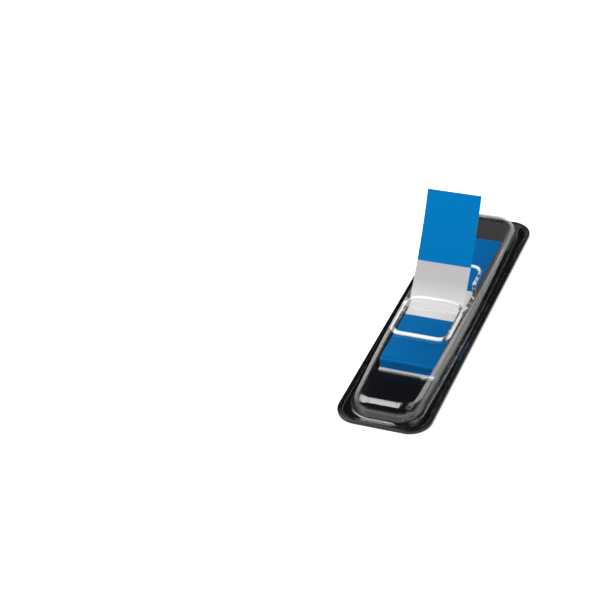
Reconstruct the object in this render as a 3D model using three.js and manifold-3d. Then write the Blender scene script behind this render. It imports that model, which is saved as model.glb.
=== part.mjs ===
// Pocket dispenser of z-folded film flags: a black tray, a clear formed cover with an arched tongue,
// a pad of flags on its backing card, and one flag pulled up through the mouth of the cover.
// Millimetres. X is across, Y runs from the front end to the back end, Z is up.
// The origin is the middle of the tray's underside.
import * as THREE from 'three';
import { LoftGeometry } from 'three/addons/geometries/LoftGeometry.js';
import { mergeVertices } from 'three/addons/utils/BufferGeometryUtils.js';
import Module from 'manifold-3d';

const wasm = await Module();
wasm.setup();

// Tray
const TRAY_WIDTH = 19.8;
const TRAY_LENGTH = 76.3;
const TRAY_CORNER = 4.6;
const TRAY_FLOOR = 0.45;
const RIM_HEIGHT = 0.85;
const RIM_WIDTH = 0.65;
const RIM_ROUND = 0.2;

// Clear cover
const SHEET = 0.3;
const FLANGE_CLEARANCE = 0.3;
const FLANGE_WIDTH_END = 0.9;
const COVER_HALF_WIDTH = 7.4;
const COVER_BOW = 0.8;
const COVER_CORNER = 4.8;
const FOOT_ROUND = 0.35;
const SIDE_LEAN = 0.2;
const FRONT_LEAN = 0.5;
const BACK_LEAN = 0.3;
const TOP_ROUND = 2.6;
const FRONT_TOP = 3.75;
const CREST_TOP = 4.8;
const BACK_TOP = 4.4;

// Tongue, mouth and window in the cover's top, each with its raised bead
const BEAD_HEIGHT = 0.38;
const EDGE_IN_BEAD = 0.1;
const TONGUE_HALF_WIDTH = 6;
const TONGUE_FRONT = -13.3;
const TONGUE_FRONT_CORNER = 1.9;
const TONGUE_BEAD = 0.55;
const LIP_Y = -2.05;
const LIP_RISE = 1.2;
const LIP_CORNER = 1.2;
const MOUTH_CLEARANCE = 0.3;
const MOUTH_BACK = 3.4;
const RAIL_BRANCH = 1.5;
const WINDOW_HALF_WIDTH = 5.6;
const WINDOW_FRONT = 7.4;
const WINDOW_BACK = 13.3;
const WINDOW_CORNER = 2.2;
const WINDOW_BEAD = 0.4;

// Pad of flags on its card
const FLAG_WIDTH = 11.8;
const FLAG_LENGTH = 42.6;
const PAD_FRONT = -20.6;
const PAD_FOLD_SHIFT = 4.7;
const PAD_THICKNESS = 2.3;
const PAD_FRONT_ROUND = 0.8;
const PAD_END_LEAN = 0.25;
const CARD_THICKNESS = 0.45;
const CARD_PROUD = 0.7;
const CARD_TAB_WIDTH = 1.5;
const CARD_TAB_PROUD = 0.35;
const CARD_TAB_X = 3.9;

// Raised flag
const FILM = 0.15;
const BEND_RADIUS = 3;
const RISE_LENGTH = 24.4;
const RISE_START = THREE.MathUtils.degToRad(44.5);
const RISE_END = THREE.MathUtils.degToRad(61);
const FLAG_SET_BACK = 0.6;

// Steps of the curved faces
const CORNER_STEPS = 7;
const SIDE_STEPS = 16;
const END_STEPS = 4;
const ROUND_STEPS = 5;
const BEAD_SIDES = 10;
const RAIL_STEPS = 11;

// Sizes that follow
const seatZ = TRAY_FLOOR;
const flangeTop = seatZ + SHEET;
const recessHalfWidth = TRAY_WIDTH / 2 - RIM_WIDTH;
const recessHalfLength = TRAY_LENGTH / 2 - RIM_WIDTH;
const flangeHalfWidth = recessHalfWidth - FLANGE_CLEARANCE;
const flangeHalfLength = recessHalfLength - FLANGE_CLEARANCE;
const coverHalfLength = flangeHalfLength - FLANGE_WIDTH_END;
const cardTop = seatZ + CARD_THICKNESS;
const padTop = cardTop + PAD_THICKNESS;
const padBack = PAD_FRONT + FLAG_LENGTH + PAD_FOLD_SHIFT;
const mouthHalfWidth = FLAG_WIDTH / 2 + MOUTH_CLEARANCE + WINDOW_BEAD;
const railStart = LIP_Y - LIP_CORNER - RAIL_BRANCH;
const wallLean = Math.atan(SIDE_LEAN);
const wallUnder = (top) => top - TOP_ROUND * (1 - Math.sin(wallLean)) - flangeTop;

// A geometry as a solid: only positions are kept, shared corners are merged, and triangles that
// have shrunk to a line where a loft closes on its own middle line are left out.
function solid(geometry) {
  const plain = new THREE.BufferGeometry().copy(geometry);
  plain.deleteAttribute('normal');
  plain.deleteAttribute('uv');
  const merged = mergeVertices(plain, 1e-5);
  const index = merged.index.array;
  const triVerts = [];
  for (let i = 0; i < index.length; i += 3) {
    const [a, b, c] = [index[i], index[i + 1], index[i + 2]];
    if (a !== b && b !== c && c !== a) triVerts.push(a, b, c);
  }
  const vertProperties = new Float32Array(merged.attributes.position.array);
  return new wasm.Manifold(new wasm.Mesh({ numProp: 3, vertProperties, triVerts: new Uint32Array(triVerts) }));
}

// A solid as a named mesh with its material.
function piece(name, body, material) {
  const { vertProperties, triVerts } = body.getMesh();
  const geometry = new THREE.BufferGeometry();
  geometry.setAttribute('position', new THREE.BufferAttribute(vertProperties, 3));
  geometry.setIndex(new THREE.BufferAttribute(triVerts, 1));
  geometry.computeVertexNormals();
  const mesh = new THREE.Mesh(geometry, material);
  mesh.name = name;
  return mesh;
}

// Loft through closed sections, from the lowest to the highest. The last one may be a middle line.
const loft = (sections, capEnd) => solid(new LoftGeometry(sections, { capStart: true, capEnd }));

// An upright prism of a shape in plan, from one height to another.
function prism(shape, from, to) {
  const geometry = new THREE.ExtrudeGeometry(shape, { depth: to - from, bevelEnabled: false, curveSegments: CORNER_STEPS });
  return solid(geometry.translate(0, 0, from));
}

// Points round a rounded rectangle in plan, counterclockwise, with the straight stretches divided
// too, so that every outline made here has the same number of points and can be lofted to another.
function outline(halfWidth, front, back, radius) {
  const corners = [
    { x: halfWidth - radius, y: back - radius, steps: END_STEPS },
    { x: radius - halfWidth, y: back - radius, steps: SIDE_STEPS },
    { x: radius - halfWidth, y: front + radius, steps: END_STEPS },
    { x: halfWidth - radius, y: front + radius, steps: SIDE_STEPS },
  ];
  const points = [];
  corners.forEach((corner, quarter) => {
    for (let i = 0; i <= CORNER_STEPS; i++) {
      const angle = (Math.PI / 2) * (quarter + i / CORNER_STEPS);
      points.push(new THREE.Vector2(corner.x + radius * Math.cos(angle), corner.y + radius * Math.sin(angle)));
    }
    const next = corners[(quarter + 1) % 4];
    const turn = (Math.PI / 2) * (quarter + 1);
    const start = points[points.length - 1].clone();
    const end = new THREE.Vector2(next.x + radius * Math.cos(turn), next.y + radius * Math.sin(turn));
    for (let i = 1; i < corner.steps; i++) points.push(start.clone().lerp(end, i / corner.steps));
  });
  return points;
}

// Rounded rectangle as a shape.
function roundedShape(halfWidth, front, back, radius) {
  return new THREE.Shape(outline(halfWidth, front, back, radius));
}

// The tray: a plate with softened edges, recessed inside its rim.
function baseTray() {
  const section = [];
  for (let i = 0; i <= 3; i++) {
    const angle = (Math.PI / 2) * (i / 3);
    section.push([RIM_ROUND * (1 - Math.sin(angle)), RIM_ROUND * (1 - Math.cos(angle))]);
  }
  for (let i = 0; i <= 3; i++) {
    const angle = (Math.PI / 2) * (i / 3);
    section.push([RIM_ROUND * (1 - Math.cos(angle)), RIM_HEIGHT - RIM_ROUND * (1 - Math.sin(angle))]);
  }
  const rings = section.map(([inset, z]) =>
    outline(TRAY_WIDTH / 2 - inset, inset - TRAY_LENGTH / 2, TRAY_LENGTH / 2 - inset, TRAY_CORNER - inset)
      .map((p) => new THREE.Vector3(p.x, p.y, z)));
  const recess = roundedShape(recessHalfWidth, -recessHalfLength, recessHalfLength, TRAY_CORNER - RIM_WIDTH);
  return loft(rings, true).subtract(prism(recess, TRAY_FLOOR, 2 * RIM_HEIGHT));
}

// Height of the cover's top along the dispenser: an arch that falls more to the front end.
function topHeight(y) {
  const end = y < 0 ? FRONT_TOP : BACK_TOP;
  return CREST_TOP - (CREST_TOP - end) * (y / coverHalfLength) ** 2;
}

// How far the long walls bow out, most at the middle.
const wallBow = (y) => COVER_BOW * (1 - (y / coverHalfLength) ** 2);

// The cover as a solid, its faces set in by drop: leaning walls, a round edge, and the arched top
// closing on the middle line. The long sides bow out. The outer one also has the flange and the
// small round that its walls stand on.
function dome(drop) {
  const rings = [];
  const addRing = (side, front, back, height) => {
    const points = outline(COVER_HALF_WIDTH - side, front - coverHalfLength, coverHalfLength - back, COVER_CORNER - side);
    rings.push(points.map((p) => {
      return new THREE.Vector3(p.x + THREE.MathUtils.clamp(p.x, -1, 1) * wallBow(p.y), p.y, height(p.y));
    }));
  };
  if (drop > 0) {
    addRing(drop, drop, drop, () => seatZ - drop);
    addRing(drop, drop, drop, () => flangeTop);
  } else {
    const flange = outline(
      flangeHalfWidth, -flangeHalfLength, flangeHalfLength, TRAY_CORNER - RIM_WIDTH - FLANGE_CLEARANCE);
    [seatZ, flangeTop].forEach((z) => rings.push(flange.map((p) => new THREE.Vector3(p.x, p.y, z))));
    for (let i = 0; i <= 3; i++) {
      const angle = (Math.PI / 2) * (i / 3);
      const flare = -FOOT_ROUND * (1 - Math.sin(angle));
      addRing(flare, flare, flare, () => flangeTop + FOOT_ROUND * (1 - Math.cos(angle)));
    }
  }
  const round = TOP_ROUND - drop;
  for (let i = 0; i <= ROUND_STEPS; i++) {
    const angle = wallLean + (Math.PI / 2 - wallLean) * (i / ROUND_STEPS);
    const inward = drop + round * (Math.cos(wallLean) - Math.cos(angle));
    const fall = drop + round * (1 - Math.sin(angle));
    addRing(
      inward + SIDE_LEAN * wallUnder(CREST_TOP),
      inward + FRONT_LEAN * wallUnder(FRONT_TOP),
      inward + BACK_LEAN * wallUnder(BACK_TOP),
      (y) => topHeight(y) - fall);
  }
  const edge = rings[rings.length - 1];
  const ends = [Math.min(...edge.map((p) => p.y)), Math.max(...edge.map((p) => p.y))];
  const middle = edge.map((p) => {
    const y = THREE.MathUtils.clamp(p.y, ends[0] + COVER_CORNER / 2, ends[1] - COVER_CORNER / 2);
    return new THREE.Vector3(0, y, topHeight(y) - drop);
  });
  const half = edge.map((p, i) => {
    const q = p.clone().lerp(middle[i], 0.5);
    return q.setZ(topHeight(q.y) - drop);
  });
  rings.push(half, middle);
  return loft(rings, false);
}

// How far the tongue stands above the arched top: nothing at its root, most at the lip's middle.
function tongueRise(x, y) {
  const along = THREE.MathUtils.clamp((y - TONGUE_FRONT) / (LIP_Y - TONGUE_FRONT), 0, 1);
  const across = Math.max(0, 1 - (x / TONGUE_HALF_WIDTH) ** 4);
  return LIP_RISE * along ** 2 * across;
}

// Height of the cover's upper face: the arched top, its round edge over the long walls, the tongue.
function coverHeight(x, y) {
  const inset = TOP_ROUND * Math.cos(wallLean) + SIDE_LEAN * wallUnder(CREST_TOP);
  const flatHalfWidth = COVER_HALF_WIDTH + wallBow(y) - inset;
  const past = THREE.MathUtils.clamp(Math.abs(x) - flatHalfWidth, 0, TOP_ROUND);
  return topHeight(y) - TOP_ROUND + Math.sqrt(TOP_ROUND ** 2 - past ** 2) + tongueRise(x, y);
}

// The tongue: a thin arched sheet, a little larger than the outline that trims it.
function tongue() {
  const columns = 14;
  const rows = 10;
  const front = TONGUE_FRONT - SHEET;
  const back = LIP_Y + SHEET;
  const row = (y) => {
    const upper = [];
    const lower = [];
    for (let i = 0; i <= columns; i++) {
      const x = (TONGUE_HALF_WIDTH + SHEET) * (2 * i / columns - 1);
      const z = coverHeight(x, y);
      upper.push(new THREE.Vector3(x, y, z));
      lower.push(new THREE.Vector3(x, y, z - SHEET));
    }
    return [...upper, ...lower.reverse()];
  };
  const rowAt = (i) => row(front + (back - front) * (i / rows));
  const closed = (section) => section.map((p, i) => p.clone().lerp(section[section.length - 1 - i], 0.5));
  const rings = [closed(rowAt(0))];
  for (let i = 0; i <= rows; i++) rings.push(rowAt(i));
  rings.push(closed(rowAt(rows)));
  return solid(new LoftGeometry(rings));
}

// A raised bead of oval section along a path in plan, lying half sunk in the cover's upper face.
// A path that isn't a loop gets blunt ends.
function bead(path, halfWidth, isLoop) {
  const count = path.length;
  const at = (i) => {
    const p = path[isLoop ? (i + count) % count : THREE.MathUtils.clamp(i, 0, count - 1)];
    return new THREE.Vector3(p.x, p.y, coverHeight(p.x, p.y));
  };
  const section = (i, scale) => {
    const along = at(i + 1).sub(at(i - 1)).normalize();
    const aside = new THREE.Vector3(-along.y, along.x, 0).normalize();
    const up = along.clone().cross(aside);
    return Array.from({ length: BEAD_SIDES }, (_, k) => {
      const angle = (2 * Math.PI * k) / BEAD_SIDES;
      return at(i)
        .addScaledVector(aside, scale * halfWidth * Math.cos(angle))
        .addScaledVector(up, scale * BEAD_HEIGHT * Math.sin(angle));
    });
  };
  const rings = path.map((_, i) => section(i, 1));
  if (isLoop) return solid(new LoftGeometry([...rings, rings[0]]));
  return solid(new LoftGeometry([section(0, 0), ...rings, section(count - 1, 0)]));
}

// A quarter turn of a path in plan, counterclockwise, starting at a number of quarter turns.
function quarter(x, y, radius, from) {
  return Array.from({ length: CORNER_STEPS + 1 }, (_, i) => {
    const angle = (Math.PI / 2) * (from + i / CORNER_STEPS);
    return new THREE.Vector2(x + radius * Math.cos(angle), y + radius * Math.sin(angle));
  });
}

// Points between two ends of a straight stretch in plan, without the ends.
function between(x0, y0, x1, y1, steps) {
  return Array.from({ length: steps - 1 }, (_, i) =>
    new THREE.Vector2(x0, y0).lerp(new THREE.Vector2(x1, y1), (i + 1) / steps));
}

// Path round the tongue, set in from the bead's middle: lip, one side rail, front rail, other rail.
function tonguePath(inset) {
  const x = TONGUE_HALF_WIDTH - LIP_CORNER;
  const root = TONGUE_HALF_WIDTH - TONGUE_FRONT_CORNER;
  const lip = LIP_Y - LIP_CORNER;
  const front = TONGUE_FRONT + TONGUE_FRONT_CORNER;
  return [
    ...quarter(x, lip, LIP_CORNER - inset, 0),
    ...between(x, LIP_Y - inset, -x, LIP_Y - inset, 12),
    ...quarter(-x, lip, LIP_CORNER - inset, 1),
    ...between(inset - TONGUE_HALF_WIDTH, lip, inset - TONGUE_HALF_WIDTH, front, 3),
    ...quarter(-root, front, TONGUE_FRONT_CORNER - inset, 2),
    ...between(-root, TONGUE_FRONT + inset, root, TONGUE_FRONT + inset, 2),
    ...quarter(root, front, TONGUE_FRONT_CORNER - inset, 3),
    ...between(TONGUE_HALF_WIDTH - inset, front, TONGUE_HALF_WIDTH - inset, lip, 3),
  ];
}

// Half the distance between the side rails behind the lip. They branch off the tongue's rails, pass
// the mouth a clearance away from the flag, and draw in to the window.
function railHalfWidth(y) {
  const { smoothstep } = THREE.MathUtils;
  return TONGUE_HALF_WIDTH + (mouthHalfWidth - TONGUE_HALF_WIDTH) * smoothstep(y, railStart, LIP_Y)
    - (mouthHalfWidth - WINDOW_HALF_WIDTH) * smoothstep(y, MOUTH_BACK, WINDOW_FRONT);
}

// Path round the mouth and the window, set in from the bead's middle: one side rail, the window's
// round back end, and the other side rail.
function windowPath(inset) {
  const x = WINDOW_HALF_WIDTH - WINDOW_CORNER;
  const back = WINDOW_BACK - WINDOW_CORNER;
  const rail = Array.from({ length: RAIL_STEPS }, (_, i) => {
    const y = railStart + (back - railStart) * (i / RAIL_STEPS);
    return new THREE.Vector2(railHalfWidth(y) - inset, y);
  });
  return [
    ...rail,
    ...quarter(x, back, WINDOW_CORNER - inset, 0),
    new THREE.Vector2(0, WINDOW_BACK - inset),
    ...quarter(-x, back, WINDOW_CORNER - inset, 1),
    ...rail.map((p) => new THREE.Vector2(-p.x, p.y)).reverse(),
  ];
}

// The clear cover: a formed sheet with its flange, cut out for the tongue, the mouth and the window.
// The sheet's cut edges and the tongue's own edges end inside the beads.
function clearCover() {
  const above = CREST_TOP + LIP_RISE + 1;
  const halfTop = (flangeTop + FRONT_TOP) / 2;
  const cut = (body, points) => body.subtract(prism(new THREE.Shape(points), halfTop, above));
  const shell = cut(cut(dome(0).subtract(dome(SHEET)), tonguePath(-EDGE_IN_BEAD)), windowPath(-EDGE_IN_BEAD));
  const sheet = tongue().intersect(prism(new THREE.Shape(tonguePath(EDGE_IN_BEAD)), halfTop, above));
  return shell
    .add(sheet.add(bead(tonguePath(0), TONGUE_BEAD, true)))
    .add(bead(windowPath(0), WINDOW_BEAD, false));
}

// The backing card: a flat card with a small tab left at its front edge.
function backingCard() {
  const half = FLAG_WIDTH / 2;
  const front = PAD_FRONT - CARD_PROUD;
  const tabLeft = CARD_TAB_X - CARD_TAB_WIDTH / 2;
  const tabRight = CARD_TAB_X + CARD_TAB_WIDTH / 2;
  const shape = new THREE.Shape();
  shape.moveTo(-half, front);
  shape.lineTo(tabLeft, front);
  shape.lineTo(tabLeft + CARD_TAB_PROUD, front - CARD_TAB_PROUD);
  shape.lineTo(tabRight - CARD_TAB_PROUD, front - CARD_TAB_PROUD);
  shape.lineTo(tabRight, front);
  shape.lineTo(half, front);
  shape.lineTo(half, padBack);
  shape.lineTo(-half, padBack);
  return prism(shape, seatZ, cardTop);
}

// A shape drawn in the Y-Z plane, given a width across X.
function acrossX(shape, width) {
  const geometry = new THREE.ExtrudeGeometry(shape, { depth: width, bevelEnabled: false, curveSegments: 10 });
  const toYZ = new THREE.Matrix4().makeBasis(
    new THREE.Vector3(0, 1, 0), new THREE.Vector3(0, 0, 1), new THREE.Vector3(1, 0, 0));
  return solid(geometry.applyMatrix4(toYZ).translate(-width / 2, 0, 0));
}

// The pad: the z-folded stack, whose ends lean in a little and round over at the top.
function flagPad() {
  const shape = new THREE.Shape();
  const round = PAD_FRONT_ROUND;
  shape.moveTo(PAD_FRONT, cardTop);
  shape.lineTo(padBack, cardTop);
  shape.lineTo(padBack - PAD_END_LEAN, padTop - round);
  shape.absarc(padBack - PAD_END_LEAN - round, padTop - round, round, 0, Math.PI / 2);
  shape.lineTo(PAD_FRONT + PAD_END_LEAN + round, padTop);
  shape.absarc(PAD_FRONT + PAD_END_LEAN + round, padTop - round, round, Math.PI / 2, Math.PI);
  return acrossX(shape, FLAG_WIDTH);
}

// The raised flag: its stuck half lies on the pad, then it bends up through the mouth and rises with
// a slight curl, ever steeper to its tip.
function raisedFlag() {
  const lying = FLAG_LENGTH - RISE_LENGTH - RISE_START * BEND_RADIUS;
  const bendY = PAD_FRONT + FLAG_SET_BACK + lying;
  const bendZ = padTop + FILM / 2 + BEND_RADIUS;
  const curlRadius = RISE_LENGTH / (RISE_END - RISE_START);
  const curlY = bendY - (curlRadius - BEND_RADIUS) * Math.sin(RISE_START);
  const curlZ = bendZ + (curlRadius - BEND_RADIUS) * Math.cos(RISE_START);
  const down = -Math.PI / 2;
  const shape = new THREE.Shape();
  shape.moveTo(bendY - lying, padTop);
  shape.lineTo(bendY, padTop);
  shape.absarc(bendY, bendZ, BEND_RADIUS + FILM / 2, down, down + RISE_START);
  shape.absarc(curlY, curlZ, curlRadius + FILM / 2, down + RISE_START, down + RISE_END);
  shape.absarc(curlY, curlZ, curlRadius - FILM / 2, down + RISE_END, down + RISE_START, true);
  shape.absarc(bendY, bendZ, BEND_RADIUS - FILM / 2, down + RISE_START, down, true);
  shape.lineTo(bendY - lying, padTop + FILM);
  return acrossX(shape, FLAG_WIDTH);
}

const blackPlastic = new THREE.MeshStandardMaterial({ color: 0x151515, roughness: 0.25, metalness: 0 });
const clearPlastic = new THREE.MeshStandardMaterial({
  color: 0xf4f6f7, roughness: 0.08, metalness: 0, transparent: true, opacity: 0.35 });
const whiteCard = new THREE.MeshStandardMaterial({ color: 0xf2f1ee, roughness: 0.8, metalness: 0 });
const blueFilm = new THREE.MeshStandardMaterial({ color: 0x0073bd, roughness: 0.5, metalness: 0 });

const group = new THREE.Group();
group.add(
  piece('base_tray', baseTray(), blackPlastic),
  piece('clear_cover', clearCover(), clearPlastic),
  piece('backing_card', backingCard(), whiteCard),
  piece('flag_pad', flagPad(), blueFilm),
  piece('raised_flag', raisedFlag(), blueFilm),
);

export default group;
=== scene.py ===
"""Pocket dispenser of z-folded film flags: gloss tray, clear formed cover, card, pad and raised flag."""

import bpy
import numpy as np
from bpy.props import FloatProperty, FloatVectorProperty, IntProperty, PointerProperty
from mathutils import Matrix, Vector


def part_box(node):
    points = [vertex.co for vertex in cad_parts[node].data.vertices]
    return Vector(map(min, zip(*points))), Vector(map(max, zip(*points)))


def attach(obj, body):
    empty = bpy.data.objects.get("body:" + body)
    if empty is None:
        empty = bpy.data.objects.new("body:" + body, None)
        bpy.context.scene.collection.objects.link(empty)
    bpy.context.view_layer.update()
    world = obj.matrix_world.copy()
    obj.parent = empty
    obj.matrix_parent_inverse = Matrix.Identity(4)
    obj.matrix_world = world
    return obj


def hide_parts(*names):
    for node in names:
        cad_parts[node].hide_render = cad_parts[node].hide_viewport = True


bl_info = {
    "name": "Flag dispenser",
    "version": (1, 0, 0),
    "blender": (4, 5, 0),
    "location": "View3D > Sidebar > Dispenser",
    "description": "Builds a pocket dispenser of z-folded film flags and its table",
    "category": "Object",
}

MM = 0.001

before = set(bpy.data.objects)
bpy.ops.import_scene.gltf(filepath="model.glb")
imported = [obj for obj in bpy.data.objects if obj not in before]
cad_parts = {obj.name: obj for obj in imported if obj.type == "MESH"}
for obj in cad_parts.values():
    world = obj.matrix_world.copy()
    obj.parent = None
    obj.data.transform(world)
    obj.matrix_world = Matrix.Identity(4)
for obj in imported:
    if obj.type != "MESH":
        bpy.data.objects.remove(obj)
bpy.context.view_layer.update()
TRAY_LOW, TRAY_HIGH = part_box("base_tray")
COVER_LOW, COVER_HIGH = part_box("clear_cover")
CARD_LOW, CARD_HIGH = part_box("backing_card")
PAD_LOW, PAD_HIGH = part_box("flag_pad")
FLAG_LOW, FLAG_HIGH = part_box("raised_flag")


def size(label, text, millimetres):
    """A length property, given in millimetres and kept in metres."""
    return FloatProperty(name=label, description=text, default=millimetres * MM, unit="LENGTH", precision=5)


def ratio(label, text, value):
    """A plain number property."""
    return FloatProperty(name=label, description=text, default=value)


def angle(label, text, degrees):
    """An angle property, given in degrees."""
    return FloatProperty(name=label, description=text, default=np.radians(degrees), unit="ROTATION")


def colour(label, text, value):
    """A linear colour property."""
    return FloatVectorProperty(name=label, description=text, default=value, subtype="COLOR", size=3, min=0, max=1)


def direction(label, text, value):
    """A direction or place property."""
    return FloatVectorProperty(name=label, description=text, default=value, subtype="XYZ", size=3)


class TraySettings(bpy.types.PropertyGroup):
    """Sizes and colour of the tray."""

    corner: size("Corner", "Plan radius of the tray's corners", 4.6)
    floor: size("Floor", "Height of the floor that the flange lies on", 0.45)
    rim: size("Rim", "Width of the rim round the floor", 0.65)
    edge: size("Edge", "Radius of the rim's edges", 0.2)
    tint: colour("Tint", "Colour of the black plastic", (0.0035, 0.0035, 0.0038))
    # The floor behind the pad is rough, and this lighter colour on it is a painted sheen.
    matt_painted_sheen: colour("Matt", "Colour of the matt floor behind the pad", (0.036, 0.035, 0.035))


class CoverSettings(bpy.types.PropertyGroup):
    """Sizes of the clear cover."""

    sheet: size("Sheet", "Thickness of the clear sheet", 0.3)
    flange_end: size("Flange end", "Width of the flange beyond the walls' front and back", 0.9)
    half_width: size("Half width", "Half the width between the walls' feet at the ends", 7.4)
    bow: size("Bow", "How far the long walls bow out at the middle", 0.8)
    corner: size("Corner", "Plan radius of the walls' corners", 4.8)
    foot: size("Foot round", "Radius between wall and flange", 0.35)
    top_round: size("Top round", "Radius between wall and top", 2.6)
    front_top: size("Front top", "Height of the top at its front end", 3.75)
    crest_top: size("Crest", "Height of the top at the middle", 4.8)
    back_top: size("Back top", "Height of the top at its back end", 4.4)
    side_lean: ratio("Side lean", "Lean of the long walls, across by up", 0.2)
    front_lean: ratio("Front lean", "Lean of the front wall, along by up", 0.5)
    back_lean: ratio("Back lean", "Lean of the back wall, along by up", 0.3)
    edge_in_bead: size("Edge in bead", "How far the sheet's cut edge reaches past a bead's middle", 0.1)
    bead_height: size("Bead height", "How far the beads stand out of the top", 0.38)
    tongue: size("Tongue", "Half the distance between the tongue's side rails", 6.0)
    tongue_front: size("Tongue front", "Place of the tongue's front rail", -13.3)
    tongue_front_corner: size("Tongue front corner", "Radius of the front rail's corners", 1.9)
    tongue_bead: size("Tongue bead", "Half the width of the bead round the tongue", 0.55)
    lip: size("Lip", "Place of the tongue's lip", -2.05)
    lip_rise: size("Lip rise", "How far the lip's middle arches up", 1.2)
    lip_corner: size("Lip corner", "Radius of the lip's corners", 1.2)
    mouth: size("Mouth", "Half the distance between the rails beside the mouth", 6.6)
    mouth_back: size("Mouth back", "Where the rails begin to draw in to the window", 3.4)
    branch: size("Branch", "Length over which the rails branch off the tongue's rails", 1.5)
    window: size("Window", "Half the distance between the window's rails", 5.6)
    window_front: size("Window front", "Where the rails have reached the window's width", 7.4)
    window_back: size("Window back", "Place of the window's back rail", 13.3)
    window_corner: size("Window corner", "Radius of the window's back corners", 2.2)
    window_bead: size("Window bead", "Half the width of the bead round the mouth and the window", 0.4)
    tint: colour("Tint", "Colour that the clear sheet reflects", (0.92, 0.92, 0.92))
    # Painted veil: this grey is painted where the back end is looked through edge on, for the light the sheet bends and
    # reflects there.
    painted_veil_tint: colour("End tint", "Colour of the sheet at its back end, where it is looked through edge on", (0.26, 0.25, 0.25))
    # Painted light: the beads' near white is a painted highlight, and their dark patches are a painted reflection.
    bead_painted_light: colour("Bead tint", "Colour of the beads, where light gathers", (0.95, 0.95, 0.94))
    bead_painted_dark: colour("Bead dark", "Colour of the dark patches in the side rails", (0.05, 0.038, 0.034))


class FlagSettings(bpy.types.PropertyGroup):
    """Sizes and colours of the pad and the raised flag."""

    layers: IntProperty(name="Layers", description="Number of film layers in the pad", default=18)
    jitter: size("Jitter", "How far single layers stand out of line", 0.05)
    front_round: size("Front round", "Radius that the pad's ends droop over", 0.8)
    tip_back: size("Front tip end", "Where the coloured tips of the front-lying flags end", -4.8)
    tip_front: size("Back tip start", "Where the coloured tips of the back-lying flags start", 6.5)
    film: size("Film", "Thickness of the raised flag", 0.12)
    bend_radius: size("Bend radius", "Radius at which the raised flag leaves the pad", 3.0)
    rise_start: angle("Rise start", "Slope of the raised flag where it leaves the bend", 44.5)
    rise_end: angle("Rise end", "Slope of the raised flag at its tip", 61.0)
    tip_length: size("Tip length", "Length of the raised flag's coloured tip", 15.1)
    blue: colour("Blue", "Colour of the tips in the pad", (0.001, 0.160, 0.462))
    # Painted light: the raised tip is the pad's blue made lighter, for the stronger light on the tilted flag.
    raised_painted_blue: colour("Raised blue", "Colour of the raised flag's tip, which the light shines through", (0.001, 0.238, 0.64))
    frosted: colour("Frosted", "Colour of the frosted film", (0.67, 0.655, 0.655))
    edge: colour("Edge", "Colour of the layers' cut edges along the pad's sides", (0.20, 0.17, 0.155))
    card: colour("Card", "Colour of the backing card", (0.80, 0.80, 0.79))


class StageSettings(bpy.types.PropertyGroup):
    """Table, lights and camera."""

    camera_place: direction("Camera place", "Where the camera stands, in metres", (0.09992, -0.27300, 0.21611))
    camera_look: direction("Camera look", "Direction of view", (-0.35400, 0.73088, -0.58352))
    camera_up: direction("Camera up", "Direction of the picture's top", (-0.15908, 0.56777, 0.80766))
    lens: ratio("Lens", "Focal length on a 36 mm sensor, in millimetres", 101.956)
    floor_tint: colour("Floor", "Colour of the table", (0.92, 0.92, 0.92))
    floor_lift: ratio("Floor lift", "Light that the table adds of its own, for a white ground", 0.7)
    floor_mirrored: ratio("Floor mirrored", "Share of the floor's own light that reflections show", 0.45)
    key_power: ratio("Key", "Power of the big soft light overhead at the left, in watts", 8.6)
    fill_power: ratio("Fill", "Power of the big soft light overhead at the right, in watts", 1.8)
    side_power: ratio("Side", "Power of the low soft light at the back right, in watts", 0.9)
    room_dark: ratio("Room above", "Level of the room's light from above", 0.012)
    room_front: ratio("Room in front", "Level of the room's light near the horizon, in front", 0.70)
    room_back: ratio("Room behind", "Level of the room's light near the horizon, behind", 0.7)


# Surfaces


def grid_faces(rows, columns, loop):
    """Four-cornered faces of a grid of points; with loop the last column joins the first."""
    index = np.arange(rows * columns).reshape(rows, columns)
    if loop:
        index = np.concatenate([index, index[:, :1]], axis=1)
    corners = (index[:-1, :-1], index[:-1, 1:], index[1:, 1:], index[1:, :-1])
    return np.stack([c.ravel() for c in corners], axis=1)


def mesh_piece(name, points, faces, material):
    """An object of these points and faces: doubled points are merged, then it rides on the root."""
    mesh = bpy.data.meshes.new(name)
    keys, first, place = np.unique(
        np.round(points / (0.2 * MM * MM)).astype(np.int64), axis=0, return_index=True, return_inverse=True)
    faces = place.reshape(-1)[faces]
    distinct = [[v for k, v in enumerate(f) if v != f[k - 1]] for f in faces.tolist()]
    mesh.from_pydata(points[first].tolist(), [], [f for f in distinct if len(set(f)) == len(f) > 2])
    mesh.validate()
    mesh.polygons.foreach_set("use_smooth", np.ones(len(mesh.polygons), dtype=bool))
    mesh.materials.append(material)
    piece = bpy.data.objects.new(name, mesh)
    bpy.context.scene.collection.objects.link(piece)
    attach(piece, "root")
    return piece


def side_stations(coarse, fine, low, high):
    """Shares of a straight side from 0 to 1, close together between low and high and wide elsewhere."""
    return np.unique(np.concatenate([
        np.linspace(0, low, coarse), np.linspace(low, high, fine), np.linspace(high, 1, coarse)]))


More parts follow.
